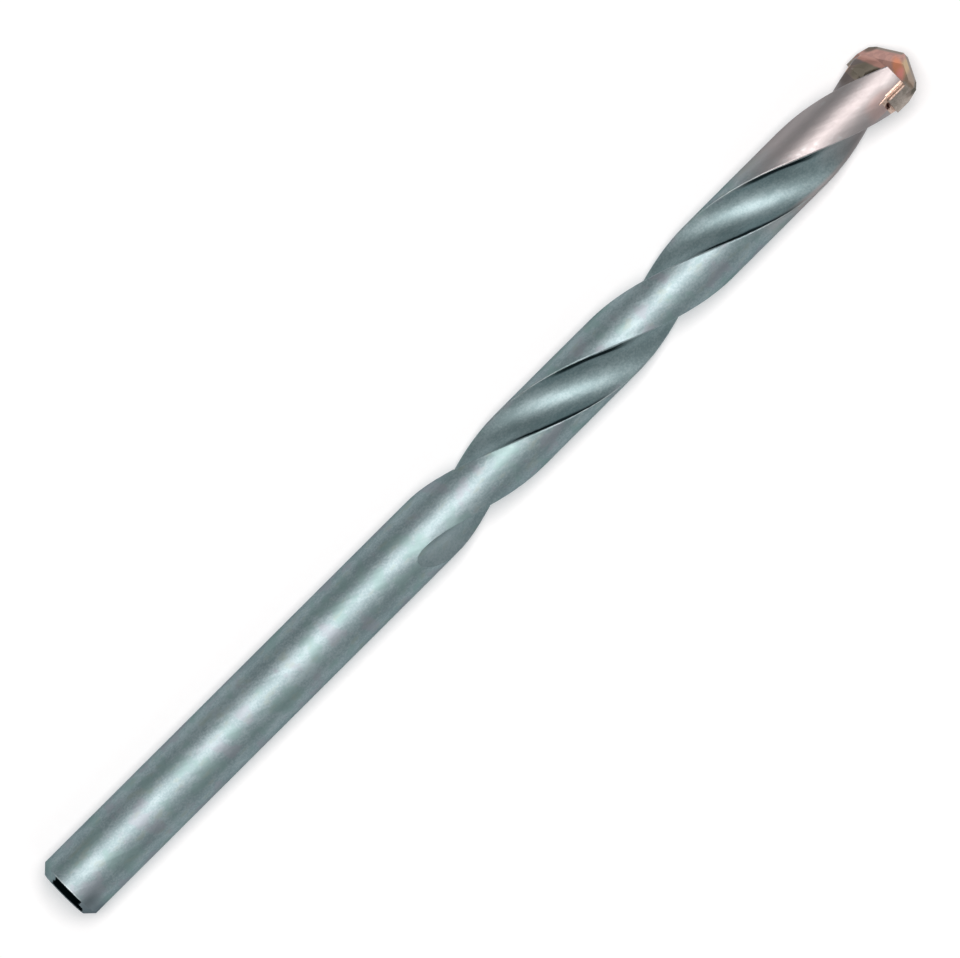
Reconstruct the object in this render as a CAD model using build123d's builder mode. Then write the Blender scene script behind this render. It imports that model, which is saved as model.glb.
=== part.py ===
from build123d import *
import os
from math import asin, cos, degrees, radians, sin, sqrt, tan

# Lengths along the bit, from the shank's end, and the diameters
overall_length = 120.0
plain_shank_length = 48.9
nose_setback = 2.4
shank_diameter = 7.3
land_diameter = 7.2
cutting_diameter = 8.0
shank_bevel_length = 0.9
shank_bevel_depth = 0.85

# Two right-hand flutes, each a groove of round section that runs out as the milling wheel lifts. The web
# between them leaves a cheek of steel on each side of the slot for the plate.
flute_lead = 54.0
flute_radius = 3.15
slot_cheek = 0.15
wheel_radius = 20.0
runout_stations = 9
land_edge_radius = 0.15

# Carbide plate: a flat slab with a roof-shaped point, set in a slot across the nose
plate_thickness = 2.2
plate_height = 4.8
point_angle = 135.0
relief_angle = 14.0
cutting_edge_offset = 0.3
gash_angle = 24.5
gash_start = 0.4
corner_break = 0.25

# Braze that fills the slot round the plate, and the pit that it left beside the slot's floor
braze_gap = 0.15
braze_floor = 0.6
pit_width = 0.3
pit_length = 0.75
pit_depth = 0.6
pit_offset = -0.35
pit_tilt = -24.0

# How the bit lies, from the top: the turn of the plate, and how far the first flute leads it at the nose
plate_turn = 47.0
flute_lead_angle = 79.6

# Cutters reach this far past what they cut
overcut = 1.0

shank_radius = shank_diameter / 2
land_radius = land_diameter / 2
cutting_radius = cutting_diameter / 2
nose = overall_length - nose_setback
plate_bottom = overall_length - plate_height
slot_floor = plate_bottom - braze_floor
slot_width = plate_thickness + 2 * braze_gap
web_thickness = slot_width + 2 * slot_cheek
quarter_turn = 90
half_turns = (0, 2 * quarter_turn)

# The bit rests on its shank, its lands or the margin corner of the plate that comes nearest to the floor
margin_half_angle = degrees(asin(plate_thickness / cutting_diameter))
corner_reach = cutting_radius * cos(radians(plate_turn - margin_half_angle))
axis_height = max(shank_radius, land_radius, corner_reach)
tipward = Vector(1, 0, 0)
bit_axis = Axis((-overall_length / 2, 0, axis_height), tipward)


def direction(turn):
    """Direction square to the axis, turned from the top in the sense of a right-hand screw."""
    return Vector(0, -sin(radians(turn)), cos(radians(turn)))


def station(distance, turn=0):
    """Plane square to the axis at a distance from the shank's end, its x axis along direction(turn)."""
    origin = bit_axis.position + tipward * distance
    return Plane(origin=origin, x_dir=direction(turn), z_dir=tipward)


def side_view(turn):
    """Plane through the axis: x runs along direction(turn), and y runs tipward from the shank's end."""
    return Plane(origin=bit_axis.position, x_dir=direction(turn), z_dir=direction(turn).cross(tipward))


# The milling wheel stands at the groove's full depth, then lifts along its own arc until it clears the shank
groove_offset = web_thickness / 2 + flute_radius
lift = shank_radius + flute_radius - groove_offset
runout_length = sqrt(wheel_radius**2 - (wheel_radius - lift) ** 2)
full_depth_start = plain_shank_length + runout_length


def flute_turn(distance):
    """Turn of the first flute's centre at a distance from the shank's end."""
    return plate_turn + flute_lead_angle - 360 * (nose - distance) / flute_lead


def lifted_offset(distance):
    """Distance of the groove's centre from the axis while the wheel lifts."""
    return groove_offset + wheel_radius - sqrt(wheel_radius**2 - (full_depth_start - distance) ** 2)


# Fluted stem: both lands and both grooves as one section, carried along the axis and turned by a helix
with BuildPart() as fluted_stem:
    with BuildLine() as stem_axis:
        Line(station(full_depth_start).origin, station(nose).origin)
    with BuildLine() as twist_guide:
        Helix(
            pitch=flute_lead,
            height=nose - full_depth_start,
            radius=groove_offset,
            center=station(full_depth_start).origin,
            direction=tipward,
        )
    with BuildSketch(station(full_depth_start, flute_turn(full_depth_start))) as stem_section:
        Circle(land_radius)
        with PolarLocations(groove_offset, len(half_turns)):
            Circle(flute_radius, mode=Mode.SUBTRACT)
        fillet(stem_section.vertices(), land_edge_radius)
    sweep(path=stem_axis.wire(), binormal=twist_guide.wire())

# Runout: the section of one groove at close stations, lifted until it has left the shank
with BuildPart() as runout_cutter:
    runout_start = plain_shank_length - overcut
    for step in range(runout_stations):
        distance = runout_start + (full_depth_start - runout_start) * step / (runout_stations - 1)
        with BuildSketch(station(distance, flute_turn(distance))):
            with Locations((lifted_offset(distance), 0)):
                Circle(flute_radius)
    loft()

# Fluted blank: the turned shank with its bevelled end and its slight taper to the lands, both runouts cut
# into it, and the stem in front. The shank is turned from the middle of a land, clear of the runouts.
with BuildPart() as fluted_blank:
    with BuildSketch(side_view(flute_turn(full_depth_start) + quarter_turn)):
        with BuildLine():
            Polyline(
                (0, 0),
                (shank_radius - shank_bevel_depth, 0),
                (shank_radius, shank_bevel_length),
                (shank_radius, plain_shank_length),
                (land_radius, full_depth_start),
                (0, full_depth_start),
                close=True,
            )
        make_face()
    revolve(axis=bit_axis)
    for turn in half_turns:
        add(runout_cutter.part.rotate(bit_axis, turn), mode=Mode.SUBTRACT)
    add(fluted_stem.part)

# Slot across the nose, as wide as the plate and its braze
with BuildPart() as slot_block:
    slot_depth = overall_length - slot_floor
    with BuildSketch(side_view(plate_turn)):
        with Locations((0, slot_floor + slot_depth / 2)):
            Rectangle(cutting_diameter + 2 * overcut, slot_depth)
    extrude(amount=slot_width / 2, both=True)

# Ground planes of the point. Each half of the plate has a flank that falls away behind its cutting edge,
# and a steeper gash in front of that edge, which is ground into the steel as well.
point_slope = 1 / tan(radians(point_angle / 2))
relief_slope = tan(radians(relief_angle))
gash_slope = 1 / tan(radians(gash_angle))
apex = bit_axis.position + tipward * overall_length


def flank_plane(turn):
    """Plane behind the cutting edge, on the half of the plate that points along direction(turn)."""
    outward, ahead = direction(turn), direction(turn + quarter_turn)
    return Plane(origin=apex, z_dir=outward * point_slope - ahead * relief_slope + tipward)


def gash_plane(turn):
    """Plane in front of that cutting edge, its x axis running outward along the edge."""
    outward, ahead = direction(turn), direction(turn + quarter_turn)
    return Plane(
        origin=apex + (ahead + tipward * relief_slope) * cutting_edge_offset,
        x_dir=outward - tipward * point_slope,
        z_dir=outward * point_slope + ahead * gash_slope + tipward,
    )


# Carbide plate: a slab with round margins and broken corners, then the four ground planes of its point
with BuildPart() as carbide_tip:
    with BuildSketch(side_view(plate_turn)):
        with Locations((0, plate_bottom + plate_height / 2)):
            Rectangle(cutting_diameter + 2 * overcut, plate_height)
    extrude(amount=plate_thickness / 2, both=True)
    margin_top = overall_length - point_slope * cutting_radius - corner_break
    with BuildSketch(side_view(plate_turn)):
        with BuildLine():
            Polyline(
                (0, plate_bottom),
                (cutting_radius, plate_bottom),
                (cutting_radius, margin_top),
                (0, margin_top + cutting_radius),
                close=True,
            )
        make_face()
    revolve(axis=bit_axis, mode=Mode.INTERSECT)
    for turn in half_turns:
        split(bisect_by=flank_plane(plate_turn + turn), keep=Keep.BOTTOM)
        split(bisect_by=gash_plane(plate_turn + turn), keep=Keep.BOTTOM)

# Ground blank: the fluted steel with a gash in front of each cutting edge, on that half of the nose alone.
# The wedge that cuts it starts near the axis and runs outward with the edge.
with BuildPart() as ground_blank:
    add(fluted_blank.part)
    for turn in half_turns:
        outward, ahead = direction(plate_turn + turn), direction(plate_turn + turn + quarter_turn)
        along_edge = gash_plane(plate_turn + turn).x_dir
        inner_end = gash_plane(plate_turn + turn).origin + along_edge * gash_start
        with BuildSketch(Plane(origin=inner_end, x_dir=ahead, z_dir=outward)):
            with BuildLine():
                Polyline(
                    (0, 0),
                    (cutting_diameter, -gash_slope * cutting_diameter),
                    (cutting_diameter, cutting_diameter),
                    (0, cutting_diameter),
                    close=True,
                )
            make_face()
        extrude(amount=cutting_diameter, dir=along_edge, mode=Mode.SUBTRACT)

# Steel body, slotted for the plate
with BuildPart() as drill_body:
    add(ground_blank.part)
    add(slot_block.part, mode=Mode.SUBTRACT)

# Braze: what the plate leaves of the slot, flush with the steel, with a pit in its floor
with BuildPart() as braze_joint:
    add(ground_blank.part)
    add(slot_block.part, mode=Mode.INTERSECT)
    add(carbide_tip.part, mode=Mode.SUBTRACT)
    with BuildSketch(side_view(plate_turn + quarter_turn).offset(land_radius + overcut)):
        with Locations(Location((pit_offset, slot_floor + braze_floor / 2), pit_tilt)):
            SlotOverall(pit_length, pit_width)
    extrude(amount=-overcut - pit_depth, mode=Mode.SUBTRACT)

os.makedirs("parts", exist_ok=True)

drill_body.part.label = "drill_body"
export_step(drill_body.part, "parts/drill_body.step")

carbide_tip.part.label = "carbide_tip"
export_step(carbide_tip.part, "parts/carbide_tip.step")

braze_joint.part.label = "braze_joint"
export_step(braze_joint.part, "parts/braze_joint.step")
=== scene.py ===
import random
from math import atan2, cos, pi, radians, sin, sqrt

import bpy
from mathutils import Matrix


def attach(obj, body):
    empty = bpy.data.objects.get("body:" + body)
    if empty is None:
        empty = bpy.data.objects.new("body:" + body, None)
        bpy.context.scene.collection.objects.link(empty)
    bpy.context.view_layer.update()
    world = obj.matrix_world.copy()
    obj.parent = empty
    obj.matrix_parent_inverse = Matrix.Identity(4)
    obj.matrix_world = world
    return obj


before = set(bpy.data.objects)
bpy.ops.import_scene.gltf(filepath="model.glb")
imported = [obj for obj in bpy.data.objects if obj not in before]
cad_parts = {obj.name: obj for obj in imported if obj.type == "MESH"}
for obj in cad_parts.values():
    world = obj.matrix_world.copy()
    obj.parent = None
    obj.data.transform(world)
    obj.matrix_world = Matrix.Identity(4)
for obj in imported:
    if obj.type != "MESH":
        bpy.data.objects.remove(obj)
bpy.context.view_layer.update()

MM = 0.001

# Sizes of the bit in millimetres and degrees. Distances run from the shank's end towards the tip.
HALF_LENGTH = 60.0
AXIS_HEIGHT = 3.65
LAND_RADIUS = 3.6
CUTTING_RADIUS = 4.0
FLUTE_LEAD = 54.0
FLUTE_TURN_AT_NOSE = 126.6
NOSE = 117.6
SLOT_FLOOR = 114.6
PLATE_TURN = 47.0
HALF_PLATE = 1.1
GASH_LEAN = -0.35

# Soft limits by distance of what lies on the bit, each from where there is nothing to where it is full
BEVEL = (0.88, 0.82)
RUNOUT_BEGINS = (49.5, 50.5)
RUNOUT_FADES = (57.0, 53.0)
GROOVES_DEEPEN = (52.0, 60.0)
PAINTED_SHADE_BEGINS = (57.0, 60.0)
PAINTED_SHADE_ENDS = (113.0, 108.0)
LAND_EDGE_WEAR_AND_HIGHLIGHT_BEGIN = (62.0, 66.0)
LAND_EDGE_WEAR_AND_HIGHLIGHT_END = (116.0, 113.0)
HEAT_ON_LANDS = (96.0, 104.0)
HEAT_IN_GROOVES = (105.0, 112.0)
FILM_ON_NOSE = (113.0, 114.0)
PIT_IN_BRAZE = (115.35, 115.20)
CUTTING_EDGE_BAND = (116.6, 117.2)
COPPER_ON_CARBIDE = (117.2, 117.6)
COPPER_ON_STEEL = (117.35, 117.6)
GOLD_ON_CARBIDE = (117.5, 118.0)

# Soft limits by radius
AROUND_END_FACE = (2.80, 2.92)
DEEP_IN_GROOVE = (3.50, 2.95)
UNDER_BRAZE_FACE = (3.55, 3.42)
UNDER_NOSE_EDGE = (3.54, 3.42)
UNDER_LAND_EDGE = (3.56, 3.50)
RUNOUT_FLOOR = (3.63, 3.56)
INSIDE_MARGIN = (3.99, 3.93)

# The line of painted shade in a groove, where the land's edge overhangs it: where it starts, and its radius
# low on the wall, high on it and at the top
PAINTED_SHADE_START = 86.65
LOW_ON_WALL = 1.35
HIGH_ON_WALL = 2.70
UNDER_EDGE = 3.20

# Olive film on the steel and on the carbide that stands out of it, an oval in the plate's frame
OLIVE_OVAL = {"centre": (115.9, -1.75), "reach": (1.35, 0.95), "lean": 35.0, "soft": 0.15}

# Colours of the steel, of what heat and grinding leave on it, of the carbide and of the braze; some are
# painted shade, painted light, painted highlights and a painted dark reflection
LAND_STEEL_DARK = (0.250, 0.330, 0.350)
LAND_STEEL_PALE = (0.362, 0.452, 0.476)
TEAL_PATCH = (0.245, 0.360, 0.352)
OLIVE_PATCH = (0.300, 0.360, 0.325)
PLUM_PATCH = (0.325, 0.350, 0.392)
WORN_EDGE_AND_HIGHLIGHT = (0.560, 0.640, 0.650)
GROOVE_STEEL_DARK = (0.228, 0.312, 0.326)
GROOVE_STEEL_PALE = (0.328, 0.420, 0.440)
GROOVE_PAINTED_SHADE = (0.008, 0.018, 0.022)
RUNOUT_PAINTED_LIGHT = (0.400, 0.480, 0.510)
LAND_HEAT_TINT = (0.425, 0.392, 0.394)
PAINTED_LAND_HIGHLIGHT = (0.620, 0.585, 0.585)
GROOVE_HEAT_TINT = (0.310, 0.282, 0.285)
EDGE_TINT = (0.10, 0.13, 0.14)
BEVEL_SCALE_AND_REFLECTION = (0.004, 0.009, 0.010)
BEVEL_SMUDGE = (0.195, 0.240, 0.262)
OLIVE_FILM = (0.270, 0.235, 0.185)
BROWN_FILM = (0.220, 0.185, 0.172)
BLACK_FLUX = (0.045, 0.034, 0.026)
DARK_CORNER = (0.085, 0.082, 0.062)
PINK_HALO = (0.580, 0.420, 0.395)
COPPER_FILM = (0.540, 0.310, 0.262)
COPPER_FILM_DARK = (0.460, 0.262, 0.228)
ORANGE_COPPER = (0.740, 0.300, 0.170)
RED_COPPER = (0.860, 0.340, 0.290)
GOLD_FILM = (0.560, 0.405, 0.240)
UMBER_FILM = (0.340, 0.255, 0.195)
CARBIDE_EDGE_BAND = (0.230, 0.190, 0.165)
CARBIDE_DARK = (0.340, 0.295, 0.255)
CARBIDE_PALE = (0.480, 0.420, 0.375)
BRAZE_DARK = (0.560, 0.390, 0.315)
BRAZE_STAINED = (0.470, 0.375, 0.300)
BRAZE_PIT_SHADE = (0.050, 0.006, 0.006)
BRAZE_SCORCH = (0.190, 0.070, 0.060)
BRAZE_PALE = (0.760, 0.600, 0.510)

# Finishes: metallic share and roughness of each metal, and how far blotches shift the edge of a stain, in mm
STEEL_METALLIC = 0.92
STEEL_ROUGHNESS = 0.53
CARBIDE_METALLIC = 0.8
CARBIDE_ROUGHNESS = 0.45
BRAZE_METALLIC = 0.9
BRAZE_ROUGHNESS = 0.52
WANDER = 1.2

# Studio: the floor, the two lamps and the light from all round
FLOOR_HALF = 3.0
FLOOR_WHITE = (0.82, 0.82, 0.82)
FLOOR_GLOW = (0.17, 0.19, 0.20)
BLACK = (0.0, 0.0, 0.0)
LAMP_ROSE = (1.0, 0.93, 0.91)
LAMP_WARM = (1.0, 0.97, 0.95)
STUDIO_BLUE = (0.80, 0.96, 1.0, 1.0)
STUDIO_STRENGTH = 0.16

# Frame of the view: the bit lies along its diagonal, seen from straight above
VIEW_WIDTH = 96.97
VIEW_TURN = -44.91
VIEW_CENTRE = (-0.685, 0.036)
LENS = 300.0
SENSOR = 36.0


class Signal:
    """A number, colour or vector that varies over a surface. Sums and products of signals are signals too."""

    def __init__(self, finish, socket):
        self.finish = finish
        self.socket = socket

    def __add__(self, other):
        return self.finish.math("ADD", self, other)

    def __sub__(self, other):
        return self.finish.math("SUBTRACT", self, other)

    def __mul__(self, other):
        return self.finish.math("MULTIPLY", self, other)

    def __radd__(self, other):
        return self.finish.math("ADD", other, self)

    def __rsub__(self, other):
        return self.finish.math("SUBTRACT", other, self)

    def __rmul__(self, other):
        return self.finish.math("MULTIPLY", other, self)

    def __neg__(self):
        return self.finish.math("MULTIPLY", self, -1.0)


class Finish:
    """A material with one Principled shader, whose inputs are worked out from the place on the bit."""

    def __init__(self, name, **constants):
        self.material = bpy.data.materials.new(name)
        self.material.use_nodes = True
        self.nodes = self.material.node_tree.nodes
        self.links = self.material.node_tree.links
        self.shader = self.nodes["Principled BSDF"]
        self.surface(**constants)

    def node(self, kind, settings=(), sockets=(), output=0):
        """Adds a node: first its settings, then the values or links of its sockets. Gives one output."""
        made = self.nodes.new(kind)
        for name, value in dict(settings).items():
            setattr(made, name, value)
        for socket, value in dict(sockets).items():
            self.plug(made.inputs[socket], value)
        return Signal(self, made.outputs[output])

    def plug(self, socket, value):
        """Links a signal to a socket, or sets the socket to a number or a colour."""
        if isinstance(value, Signal):
            self.links.new(value.socket, socket)
        elif socket.type == "RGBA" and len(value) == 3:
            socket.default_value = (*value, 1.0)
        else:
            socket.default_value = value

    def surface(self, **inputs):
        """Sets inputs of the shader, each named with underscores for its spaces. Gives the material."""
        for socket, value in inputs.items():
            self.plug(self.shader.inputs[socket.replace("_", " ")], value)
        return self.material

    def math(self, operation, first, second=0.0):
        return self.node("ShaderNodeMath", {"operation": operation}, {0: first, 1: second})

    def mix(self, share, first, second):
        """The colour first where share is 0, and second where it is 1."""
        first_colour, second_colour, mixed_colour = 6, 7, 2
        sockets = {0: share, first_colour: first, second_colour: second}
        return self.node("ShaderNodeMix", {"data_type": "RGBA"}, sockets, output=mixed_colour)

    def rise(self, value, low, high):
        """0 below low and 1 above high, with a smooth step between them. It falls where low is above high."""
        if low > high:
            return 1.0 - self.rise(value, high, low)
        settings = {"interpolation_type": "SMOOTHSTEP"}
        return self.node("ShaderNodeMapRange", settings, {0: value, 1: low, 2: high})

    def span(self, value, begins, ends):
        """1 between two smooth steps, each given by where it is 0 and where it is 1."""
        return self.rise(value, *begins) * self.rise(value, *ends)

    def band(self, value, low, high, soft):
        """1 between low and high, with edges that are as soft on either side."""
        return self.span(value, (low - soft, low + soft), (high + soft, high - soft))

    def stretch(self, vector, amounts):
        return self.node("ShaderNodeVectorMath", {"operation": "MULTIPLY"}, {0: vector, 1: amounts})

    def split(self, vector):
        """The three numbers of a vector."""
        return [self.node("ShaderNodeSeparateXYZ", {}, {0: vector}, output=index) for index in range(3)]

    def noise(self, vector, per_mm, detail=3.0, roughness=0.55):
        """Smooth noise from 0 to 1, about 0.5, with so many bumps to a millimetre."""
        sockets = {"Vector": vector, "Scale": per_mm, "Detail": detail, "Roughness": roughness}
        return self.node("ShaderNodeTexNoise", {}, sockets)

    def bump(self, height, depth_mm, normal=None):
        """Normal of a surface raised by height times depth_mm, over the relief that normal has already."""
        sockets = {"Height": height, "Distance": depth_mm * MM}
        if normal is not None:
            sockets["Normal"] = normal
        return self.node("ShaderNodeBump", {}, sockets)


class Place:
    """Where a point of the bit lies, in millimetres: its distance from the shank's end, how far to the right
    of the axis and above it, and its radius. Two more are the same on both faces of the tip: across, how far
    to the right with that face up, and ahead, how far in front of the plate's middle as the bit turns."""

    def __init__(self, finish):
        self.finish = finish
        metres = finish.node("ShaderNodeTexCoord", output="Object")
        self.point = finish.stretch(metres, (1 / MM, 1 / MM, 1 / MM))
        x, y, z = finish.split(self.point)
        self.distance = x + HALF_LENGTH
        self.right = right = -y
        self.up = up = z - AXIS_HEIGHT
        self.radius = finish.math("SQRT", right * right + up * up)
        turn = radians(PLATE_TURN)
        along_plate = right * sin(turn) + up * cos(turn)
        through_plate = right * cos(turn) - up * sin(turn)
        self.across = -right * finish.math("SIGN", through_plate)
        self.ahead = through_plate * finish.math("SIGN", along_plate)

    def untwisted(self):
        """The point turned back about the axis by the flutes' helix: a streak along x follows the flutes, and
        the flutes' centres lie above and below the axis."""
        turn = (NOSE - self.distance) * (2 * pi / FLUTE_LEAD) - radians(FLUTE_TURN_AT_NOSE)
        sockets = {"Vector": self.point, "Center": (0, 0, AXIS_HEIGHT), "Angle": turn}
        return self.finish.node("ShaderNodeVectorRotate", {"rotation_type": "X_AXIS"}, sockets)

    def up_the_gash(self):
        """Distance along the bit, less for a point farther to the right, as the gash's rear edge runs."""
        return self.distance + self.across * GASH_LEAN

    def smear(self, centre, reach, wander, lean=0.0, soft=0.3):
        """1 inside an oval on the tip. Its centre is given by distance and across, its long axis leans from
        the bit's axis by lean degrees, and wander makes its edge uneven."""
        forward = self.distance - centre[0]
        sideways = self.across - centre[1]
        turn = radians(lean)
        along = (forward * cos(turn) + sideways * sin(turn)) * (1 / reach[0])
        athwart = (sideways * cos(turn) - forward * sin(turn)) * (1 / reach[1])
        size = self.finish.math("SQRT", along * along + athwart * athwart)
        return self.finish.rise(size + wander, 1.0 + soft, 1.0 - soft)


def blasted_steel():
    """Steel blasted with fine grit, teal-grey, with darker grooves, and heat tints near the brazed nose. It
    also carries painted shade along the grooves' edges, painted light where the grooves run out, painted
    highlights on the land edges and round the bevel, and a painted dark reflection on the bevel of the
    shank's end.
    """
    finish = Finish("blasted_steel", Specular_Tint=EDGE_TINT)
    place = Place(finish)
    grain = finish.noise(place.point, per_mm=4.5, detail=4.0, roughness=0.65)
    grit = finish.noise(place.point, per_mm=11.0, detail=2.0)
    cloud = finish.noise(place.point, per_mm=0.22, detail=2.0)
    patches = finish.noise(place.point, per_mm=0.35)
    blotch = finish.noise(finish.stretch(place.point, (0.45, 1.0, 1.0)), per_mm=1.1, detail=4.0)
    untwisted = place.untwisted()
    streak = finish.noise(finish.stretch(untwisted, (0.10, 1.8, 1.8)), per_mm=1.0)
    wander = (blotch - 0.5) * WANDER

    tone = finish.rise(cloud * 0.25 + blotch * 0.25 + grain * 0.5, 0.40, 0.60)
    land_steel = finish.mix(tone, LAND_STEEL_DARK, LAND_STEEL_PALE)
    land_steel = finish.mix(finish.rise(patches, 0.52, 0.64) * 0.65, land_steel, TEAL_PATCH)
    land_steel = finish.mix(finish.rise(patches, 0.46, 0.36) * 0.65, land_steel, PLUM_PATCH)
    land_steel = finish.mix(finish.rise(blotch, 0.56, 0.68) * 0.5, land_steel, OLIVE_PATCH)
    groove_steel = finish.mix(tone, GROOVE_STEEL_DARK, GROOVE_STEEL_PALE)
    colour = heat_tints(finish, place, cloud, wander, land_steel, groove_steel)
    # Painted light: the flat floor where the grooves run out faces away from the lamp, and is painted paler
    # to lighten its shade
    runout_light = finish.span(place.distance, RUNOUT_BEGINS, RUNOUT_FADES)
    runout_light = runout_light * finish.rise(place.radius, *RUNOUT_FLOOR)
    colour = finish.mix(runout_light * 0.3, colour, RUNOUT_PAINTED_LIGHT)

    # Painted shade: a near-black line along the grooves' edges, where the land's edge overhangs the groove
    groove_shade = groove_painted_shade(finish, place, untwisted, wander)
    colour = finish.mix(groove_shade, colour, GROOVE_PAINTED_SHADE)
    # The land edges are paler and smoother: partly wear, partly a painted highlight along their rounding
    edge_band = finish.span(place.distance, LAND_EDGE_WEAR_AND_HIGHLIGHT_BEGIN, LAND_EDGE_WEAR_AND_HIGHLIGHT_END) * finish.rise(blotch, 0.30, 0.60)
    edge_band = edge_band * finish.band(place.radius, 3.50, 3.575, soft=0.02)
    colour = finish.mix(edge_band * 0.7, colour, WORN_EDGE_AND_HIGHLIGHT)
    colour = tip_stains(finish, place, wander, colour)

    ragged = (grain - 0.5) * 0.9 + wander * 0.25
    # Near-black on the bevel: a painted dark reflection on its top, and black stains in spots below
    scale_and_reflection = bevel_scale_and_reflection(finish, place, ragged, wander, blotch * 0.6 + patches * 0.4)
    # A pale line round the bevel's outer edge: partly wear, partly a painted highlight
    rim_wear_and_highlight = finish.band(place.distance, 0.86, 0.96, soft=0.03) * finish.band(place.right, -2.1, 1.6, soft=0.3)
    colour = finish.mix(rim_wear_and_highlight * 0.8, colour, WORN_EDGE_AND_HIGHLIGHT)
    smudge = finish.rise(place.distance + wander * 0.5, 3.4, 1.4)
    smudge = smudge * finish.rise(place.right + wander * 0.3, 1.3, 2.3)
    colour = finish.mix(smudge, colour, BEVEL_SMUDGE)
    colour = finish.mix(scale_and_reflection, colour, BEVEL_SCALE_AND_REFLECTION)

    metallic = STEEL_METALLIC + (groove_shade + scale_and_reflection) * (1.0 - STEEL_METALLIC)
    roughness = STEEL_ROUGHNESS + (grain - 0.5) * 0.16 + (streak - 0.5) * 0.08 - edge_band * 0.15
    normal = finish.bump(grain, depth_mm=0.008)
    normal = finish.bump(grit, depth_mm=0.010, normal=normal)
    normal = finish.bump(streak, depth_mm=0.020, normal=normal)
    return finish.surface(
        Base_Color=colour,
        Metallic=finish.math("MINIMUM", metallic, 1.0),
        Roughness=roughness,
        Normal=normal,
    )


def heat_tints(finish, place, cloud, wander, land_steel, groove_steel):
    """The steel's colour on the lands and in the grooves. Heat tints begin farther back on the lands."""
    heat_on_lands = finish.rise(place.distance + (cloud - 0.5) * 8.0 + wander, *HEAT_ON_LANDS)
    heat_in_grooves = finish.rise(place.distance + (cloud - 0.5) * 4.0 + wander, *HEAT_IN_GROOVES)
    in_groove = finish.rise(place.radius, *DEEP_IN_GROOVE) * finish.rise(place.distance, *GROOVES_DEEPEN)
    return finish.mix(
        in_groove,
        finish.mix(heat_on_lands, land_steel, LAND_HEAT_TINT),
        finish.mix(heat_in_grooves, groove_steel, GROOVE_HEAT_TINT),
    )


def groove_painted_shade(finish, place, untwisted, wander):
    """Painted shade in each groove, where the land's edge overhangs it: a near-black streak that climbs the
    trailing wall to its edge and stays under it, and one that leaves the leading edge again. Both grooves
    repeat them every half turn of the helix."""
    _, right, up = finish.split(untwisted)
    trailing = finish.rise((up - AXIS_HEIGHT) * right, 0.4, -0.4)
    share = finish.math("FRACT", (place.distance - PAINTED_SHADE_START) * (2 / FLUTE_LEAD))
    depth = place.radius + wander * 0.18

    def streak_above(line):
        return finish.span(depth - line, (-0.05, 0.30), (1.25, 0.85))

    climb = LOW_ON_WALL + finish.rise(share, 0.11, 0.31) * (HIGH_ON_WALL - LOW_ON_WALL)
    climb = climb + finish.rise(share, 0.28, 0.50) * (UNDER_EDGE - HIGH_ON_WALL)
    climbing = streak_above(climb) * finish.span(share, (0.11, 0.24), (0.60, 0.46)) * trailing
    drop = UNDER_EDGE - finish.rise(share, 0.36, 0.58) * (UNDER_EDGE - HIGH_ON_WALL)
    drop = drop - finish.rise(share, 0.55, 0.75) * (HIGH_ON_WALL - LOW_ON_WALL)
    dropping = streak_above(drop) * finish.span(share, (0.40, 0.50), (0.79, 0.66)) * (1.0 - trailing)
    on_wall = finish.span(place.distance, PAINTED_SHADE_BEGINS, PAINTED_SHADE_ENDS)
    on_wall = on_wall * finish.rise(place.radius, *UNDER_LAND_EDGE)
    return (climbing + dropping) * on_wall * 0.93


def bevel_scale_and_reflection(finish, place, ragged, wander, spots):
    """Near-black on the bevel of the shank's end: a patch on top with ragged ends and a tail along its outer
    edge, which is a painted dark reflection, and black stains in spots below."""
    sideways = place.right + ragged * 0.9
    tail = finish.rise(place.distance + wander * 0.1, 0.48, 0.34) * 0.65
    on_top = finish.rise(sideways, -1.83, -1.67) * finish.rise(sideways - tail, 1.88, 1.72)
    on_top = on_top * finish.rise(place.up, 0.0, 0.5)
    below = finish.rise(place.up, 0.2, -0.4) * finish.rise(spots, 0.50, 0.54)
    on_bevel = finish.rise(place.distance, *BEVEL)
    on_bevel = on_bevel * finish.rise(place.radius + ragged * 0.1, *AROUND_END_FACE)
    return on_bevel * (on_top + below)


def tip_stains(finish, place, wander, colour):
    """What brazing and grinding leave round the plate: olive film and black flux in the groove, pink copper
    on the ground gash and on the land beside the braze. A paler patch on the land near the nose is a painted
    highlight."""
    in_groove = finish.rise(place.radius, *UNDER_NOSE_EDGE)
    nose = finish.rise(place.distance, *FILM_ON_NOSE) * finish.rise(place.across, 0.3, -0.3)
    colour = finish.mix(nose * in_groove * 0.8, colour, BROWN_FILM)
    olive = place.smear(**OLIVE_OVAL, wander=wander * 0.2)
    colour = finish.mix(olive * in_groove, colour, OLIVE_FILM)
    flux = place.smear(
        centre=(115.95, -1.33), reach=(1.2, 0.24), lean=21.5, wander=wander * 1.1, soft=0.5
    )
    colour = finish.mix(flux * in_groove * 0.85, colour, BLACK_FLUX)
    on_gash = finish.rise(place.up_the_gash() + wander * 0.15, *COPPER_ON_STEEL)
    on_gash = on_gash * finish.rise(place.across, -0.1, -0.6)
    colour = finish.mix(on_gash * in_groove, colour, COPPER_FILM)
    halo = place.smear(centre=(114.3, 2.3), reach=(1.4, 1.3), wander=wander * 0.5, soft=0.6)
    colour = finish.mix(halo * 0.7, colour, PINK_HALO)
    along_braze = place.smear(centre=(115.3, 1.20), reach=(2.0, 0.38), wander=wander * 0.4, soft=0.7)
    colour = finish.mix(along_braze * 0.5, colour, PINK_HALO)
    # Painted highlight: a paler patch on the land near the nose, where its rounding catches the lamp
    land_highlight = place.smear(centre=(116.7, 0.75), reach=(1.0, 0.55), wander=wander * 0.5, soft=0.6)
    return finish.mix(land_highlight * 0.6, colour, PAINTED_LAND_HIGHLIGHT)


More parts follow.
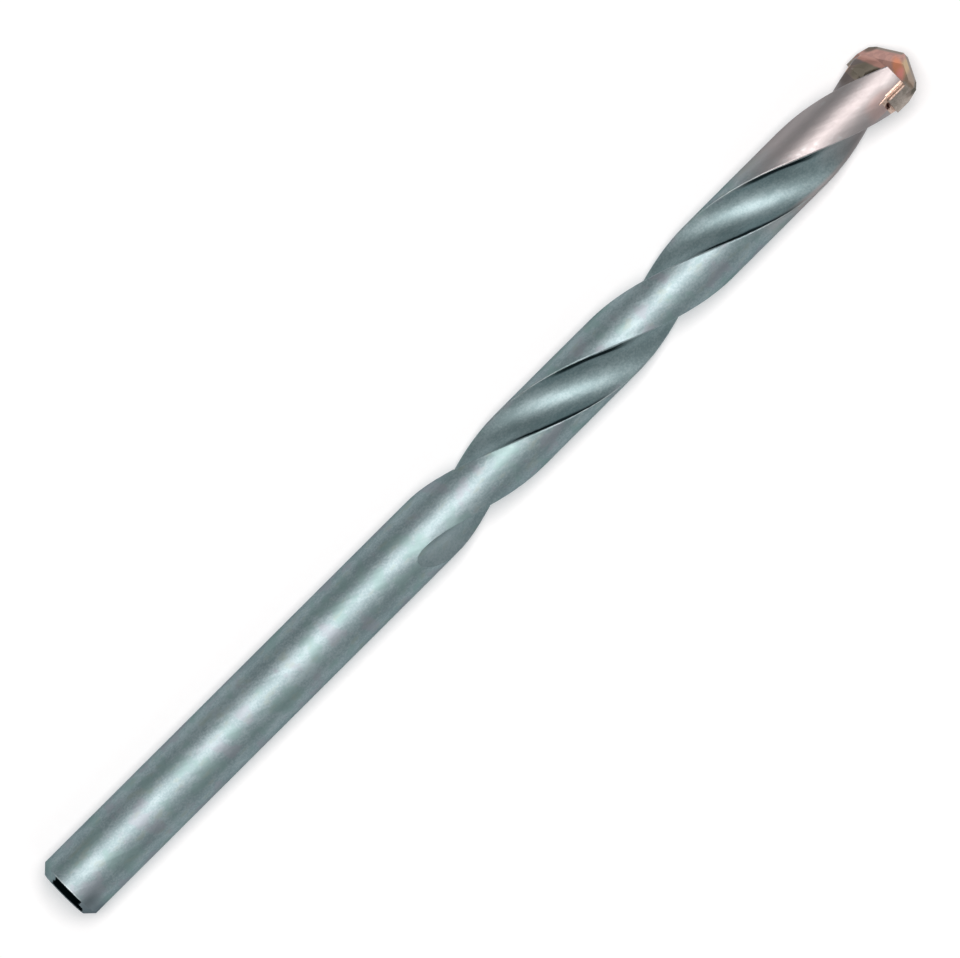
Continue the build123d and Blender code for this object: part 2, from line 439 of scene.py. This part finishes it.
def ground_carbide():
    """Ground carbide: darker in a band along its cutting edges, and stained by copper round the point."""
    finish = Finish("ground_carbide", Metallic=CARBIDE_METALLIC)
    place = Place(finish)
    grain = finish.noise(place.point, per_mm=6.0, detail=4.0)
    blotch = finish.noise(place.point, per_mm=1.3)
    wander = (blotch - 0.5) * WANDER
    colour = finish.mix(finish.rise(grain * 0.5 + blotch * 0.5, 0.4, 0.6), CARBIDE_DARK, CARBIDE_PALE)

    copper = finish.rise(place.up_the_gash() + wander * 0.3, *COPPER_ON_CARBIDE)
    copper = copper * finish.rise(place.radius, *INSIDE_MARGIN) * finish.rise(place.across, 0.9, 0.3)
    copper_colour = finish.mix(finish.rise(blotch, 0.42, 0.58), COPPER_FILM, COPPER_FILM_DARK)
    colour = finish.mix(copper, colour, copper_colour)
    colour = finish.mix(place.smear(**OLIVE_OVAL, wander=wander * 0.2), colour, OLIVE_FILM)
    gold = finish.rise(place.distance + wander * 0.3, *GOLD_ON_CARBIDE)
    gold = gold * finish.rise(place.across, 0.0, 0.5)
    gold_colour = finish.mix(finish.rise(place.across + wander * 0.3, 1.0, 1.7), GOLD_FILM, UMBER_FILM)
    colour = finish.mix(gold, colour, gold_colour)
    orange = place.smear(
        centre=(118.36, 0.42), reach=(1.20, 0.50), lean=124.6, wander=wander * 0.5, soft=0.40
    )
    orange_colour = finish.mix(finish.rise(place.across, 0.2, 0.9), ORANGE_COPPER, RED_COPPER)
    colour = finish.mix(orange, colour, orange_colour)

    edge_band = finish.band(place.ahead + wander * 0.1, -0.15, 0.47, soft=0.06)
    edge_band = edge_band * finish.rise(place.distance, *CUTTING_EDGE_BAND)
    colour = finish.mix(edge_band, colour, finish.mix(grain, CARBIDE_EDGE_BAND, CARBIDE_DARK))
    corner = place.smear(
        centre=(118.2, -2.95), reach=(0.85, 0.28), lean=22.0, wander=wander * 0.4, soft=0.4
    )
    colour = finish.mix(corner * 0.8, colour, DARK_CORNER)
    roughness = CARBIDE_ROUGHNESS + (grain - 0.5) * 0.15
    return finish.surface(Base_Color=colour, Roughness=roughness, Normal=finish.bump(grain, depth_mm=0.010))


def copper_braze():
    """Copper braze, bright beside the land and stained where it shows in the groove."""
    finish = Finish("copper_braze", Metallic=BRAZE_METALLIC, Roughness=BRAZE_ROUGHNESS)
    place = Place(finish)
    grain = finish.noise(place.point, per_mm=5.0)
    blotch = finish.noise(place.point, per_mm=1.3)
    wander = (blotch - 0.5) * WANDER
    colour = finish.mix(finish.rise(grain, 0.35, 0.65), BRAZE_DARK, BRAZE_PALE)
    flat_side = finish.band(place.radius + wander * 0.05, 3.73, 3.93, soft=0.03)
    colour = finish.mix(flat_side * 0.85, colour, BRAZE_STAINED)
    stained = tip_stains(finish, place, wander, colour)
    colour = finish.mix(finish.rise(place.across, 1.2, 0.6), colour, stained)
    # Painted shade: the braze deep in the slot, below its face, is painted near black
    pit_shade = finish.rise(place.radius, *UNDER_BRAZE_FACE) * finish.rise(place.distance, *PIT_IN_BRAZE)
    colour = finish.mix(pit_shade * finish.rise(place.across, 1.0, 1.4), colour, BRAZE_PIT_SHADE)
    scorch = place.smear(
        centre=(114.9, 2.39), reach=(0.50, 0.26), lean=-20.0, wander=wander * 0.3, soft=0.35
    )
    colour = finish.mix(scorch * 0.8, colour, BRAZE_SCORCH)
    return finish.surface(Base_Color=colour, Normal=finish.bump(grain, depth_mm=0.015))


def pale_floor():
    """White to the camera and in reflections, and it keeps the bit's shadow."""
    finish = Finish("pale_floor", Base_Color=FLOOR_WHITE, Roughness=0.9, Emission_Strength=1.0)
    seen, mirrored, passed = (
        finish.node("ShaderNodeLightPath", output=ray)
        for ray in ("Is Camera Ray", "Is Glossy Ray", "Is Transmission Ray")
    )
    return finish.surface(Emission_Color=finish.mix(seen + mirrored + passed, BLACK, FLOOR_GLOW))


def place_in_scene(name, data):
    placed = bpy.data.objects.new(name, data)
    bpy.context.scene.collection.objects.link(placed)
    return placed


def lay_floor():
    corners = [(x * FLOOR_HALF, y * FLOOR_HALF, 0) for x, y in ((-1, -1), (1, -1), (1, 1), (-1, 1))]
    mesh = bpy.data.meshes.new("floor")
    mesh.from_pydata(corners, [], [(0, 1, 2, 3)])
    mesh.materials.append(pale_floor())
    floor = place_in_scene("floor", mesh)


def hang_lamp(name, place, along, across, watts, colour):
    """A rectangular lamp that faces the bit's axis, with one size along the bit and one across it."""
    data = bpy.data.lights.new(name, "AREA")
    data.shape = "RECTANGLE"
    data.size = along
    data.size_y = across
    data.energy = watts
    data.color = colour
    lamp = place_in_scene(name, data)
    lamp.location = place
    lamp.rotation_euler = (-atan2(place[1], place[2]), 0, 0)


def light_studio():
    hang_lamp("softbox_above", (0.05, 0.05, 0.80), along=0.60, across=0.42, watts=6.45, colour=LAMP_ROSE)
    hang_lamp("soft_side", (0.0, -0.50, 0.55), along=0.60, across=0.40, watts=0.55, colour=LAMP_WARM)
    world = bpy.data.worlds.new("studio")
    bpy.context.scene.world = world
    world.use_nodes = True
    backdrop = world.node_tree.nodes["Background"]
    backdrop.inputs["Color"].default_value = STUDIO_BLUE
    backdrop.inputs["Strength"].default_value = STUDIO_STRENGTH


def stand_camera():
    data = bpy.data.cameras.new("photo_view")
    data.lens = LENS
    data.sensor_width = SENSOR
    data.clip_start = 0.01
    data.clip_end = 10.0
    camera = place_in_scene("photo_view", data)
    x, y = VIEW_CENTRE
    height = AXIS_HEIGHT + VIEW_WIDTH * LENS / SENSOR
    camera.location = (x * MM, y * MM, height * MM)
    camera.rotation_euler = (0, 0, radians(VIEW_TURN))
    bpy.context.scene.camera = camera


def dress(node, material):
    node_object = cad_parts[node]
    node_object.data.materials.clear()
    node_object.data.materials.append(material)
    return node_object


def break_edges(node_object, width_mm, sharper_than):
    """Breaks the ground edges by a narrow bevel, so that they catch the light."""
    bevel = node_object.modifiers.new("broken_edges", "BEVEL")
    bevel.width = width_mm * MM
    bevel.segments = 2
    bevel.limit_method = "ANGLE"
    bevel.angle_limit = radians(sharper_than)
    bevel.harden_normals = True


def on_bit(distance, outward, ahead, half):
    """Point of the frame for a distance from the shank's end and a place in the frame of one half of the
    plate, all in millimetres. half is the turn of that half, 0 or 180 degrees."""
    turn = radians(PLATE_TURN + half)
    right = outward * sin(turn) + ahead * cos(turn)
    up = outward * cos(turn) - ahead * sin(turn)
    return (distance - HALF_LENGTH) * MM, -right * MM, (AXIS_HEIGHT + up) * MM


def land_height(ahead):
    """How far the land lies out from the axis at a place across the plate's frame."""
    return sqrt(LAND_RADIUS**2 - ahead**2)


def end_taper(share, into, out):
    """0 at both ends and 1 between them: it fills over 1/into of the length and empties over 1/out of it."""
    return min(1.0, into * share, out * (1.0 - share)) ** 0.5


def braze_fillet(name, half, material):
    """The fillet of braze that runs up from the land behind a cutting edge to the plate's proud corner, with
    a bead along each side of it. The beads swell by lower and upper, and the valley between them wavers."""
    draw = random.Random(half + 7)
    stations = 56
    start, end = 115.35, NOSE - 0.02
    foot = land_height(-1.50)
    corner = sqrt(CUTTING_RADIUS**2 - HALF_PLATE**2)
    swell = [draw.uniform(-1.0, 1.0) for _ in range(stations + 2)]
    dip = [draw.uniform(-1.0, 1.0) for _ in range(stations + 2)]
    rows = []
    for index in range(stations + 1):
        share = index / stations
        taper = end_taper(share, into=6.0, out=6.0)
        lower = taper * (0.062 + 0.011 * (swell[index] + swell[index + 1]) / 2)
        upper = taper * (0.095 + 0.017 * (dip[index] + dip[index + 1]) / 2)
        valley = 0.5 * (dip[index] + swell[index + 1])
        section = (
            (foot - 0.05, -1.50),
            (foot + 0.2 * lower, -1.46 + 0.02 * valley),
            (3.36 + 0.8 * lower, -1.36),
            (3.39 + 1.3 * lower, -1.28),
            (3.41 + 1.1 * lower, -1.21),
            (3.44 + 0.3 * lower, -1.165),
            (3.52 + 0.01 * valley, -1.135 - 0.2 * upper),
            (3.62 + 0.02 * valley, -1.120 - 0.25 * upper),
            (3.72, -1.115 - 0.5 * upper),
            (corner - 0.03, -1.105 - 0.9 * upper),
            (corner + 0.5 * upper, -1.09 - 0.4 * upper),
            (corner + 0.6 * upper, -1.03),
            (corner + 0.01, -0.94),
            (corner - 0.10, -0.94),
            (3.30, -1.00),
            (3.15, -1.30),
        )
        distance = start + (end - start) * share
        rows.append([on_bit(distance, outward, ahead, half) for outward, ahead in section])
    skin_rows(name, rows, material)


def braze_bead(name, half, material):
    """A low bead of braze that stands on the land along the slot's edge, from its floor to the fillet."""
    draw = random.Random(half + 31)
    stations = 24
    start, end = SLOT_FLOOR - 0.35, 115.55
    rows = []
    for index in range(stations + 1):
        share = index / stations
        taper = end_taper(share, into=5.0, out=8.0)
        proud = taper * (0.075 + draw.uniform(-0.02, 0.02))
        reach = taper * (0.11 + draw.uniform(-0.015, 0.015))
        middle = -1.27 + 0.10 * (1.0 - share)
        section = (
            (-0.05, middle - reach),
            (0.5 * proud, middle - 0.8 * reach),
            (proud, middle - 0.3 * reach),
            (proud, middle + 0.3 * reach),
            (0.5 * proud, middle + 0.8 * reach),
            (-0.05, middle + reach),
            (-0.12, middle),
        )
        distance = start + (end - start) * share
        rows.append([on_bit(distance, land_height(ahead) + height, ahead, half) for height, ahead in section])
    skin_rows(name, rows, material)


def skin_rows(name, rows, material):
    """A closed piece of braze through rows of points, capped at both ends and softened once."""
    count = len(rows[0])
    faces = []
    for row in range(len(rows) - 1):
        for index in range(count):
            here, beside = row * count + index, row * count + (index + 1) % count
            faces.append((here, beside, beside + count, here + count))
    faces.append(tuple(reversed(range(count))))
    faces.append(tuple(range((len(rows) - 1) * count, len(rows) * count)))
    mesh = bpy.data.meshes.new(name)
    mesh.from_pydata([point for row in rows for point in row], [], faces)
    mesh.update()
    mesh.materials.append(material)
    for face in mesh.polygons:
        face.use_smooth = True
    piece = place_in_scene(name, mesh)
    soften = piece.modifiers.new("soften", "SUBSURF")
    soften.levels = 1
    soften.render_levels = 1
    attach(piece, "root")


stand_camera()
lay_floor()
light_studio()
dress("drill_body", blasted_steel())
plate = dress("carbide_tip", ground_carbide())
break_edges(plate, width_mm=0.04, sharper_than=12)
braze = copper_braze()
dress("braze_joint", braze)
braze_fillet("braze_fillet_near", 0, braze)
braze_fillet("braze_fillet_far", 180, braze)
braze_bead("braze_bead_near", 0, braze)
braze_bead("braze_bead_far", 180, braze)

bpy.context.scene.view_settings.view_transform = "Standard"
